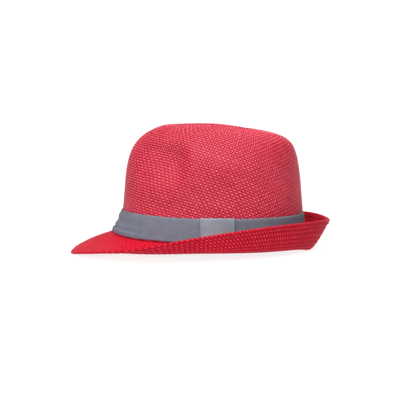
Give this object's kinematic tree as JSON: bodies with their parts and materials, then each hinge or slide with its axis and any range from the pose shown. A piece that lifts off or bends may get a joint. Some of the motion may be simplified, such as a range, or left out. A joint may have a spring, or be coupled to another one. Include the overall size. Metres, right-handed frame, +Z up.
{
  "type": "trilby sun hat",
  "caption": "Trilby sun hat woven of red paper straw: a dented, pinched crown, a short brim snapped down in front and rolled up behind, and a grey ribbon band held by a keeper.",
  "frame": {"origin": "middle of the hat's outline seen from above, on the table that it rests on", "axes": "+Z up; -Y towards the front of the hat, where the brim is snapped down; +X towards the wearer's left, where the keeper is"},
  "size_m": [0.2386, 0.289, 0.14],
  "materials": {
    "crown": "plain weave of twisted paper straw, matt",
    "brim": "plain weave of twisted paper straw, matt",
    "band": "woven ribbon, matt",
    "keeper": "woven ribbon, matt"
  },
  "bodies": {
    "root": {"crown": "crown", "brim": "brim", "band": "band", "keeper": "keeper"}
  },
  "joints": []
}
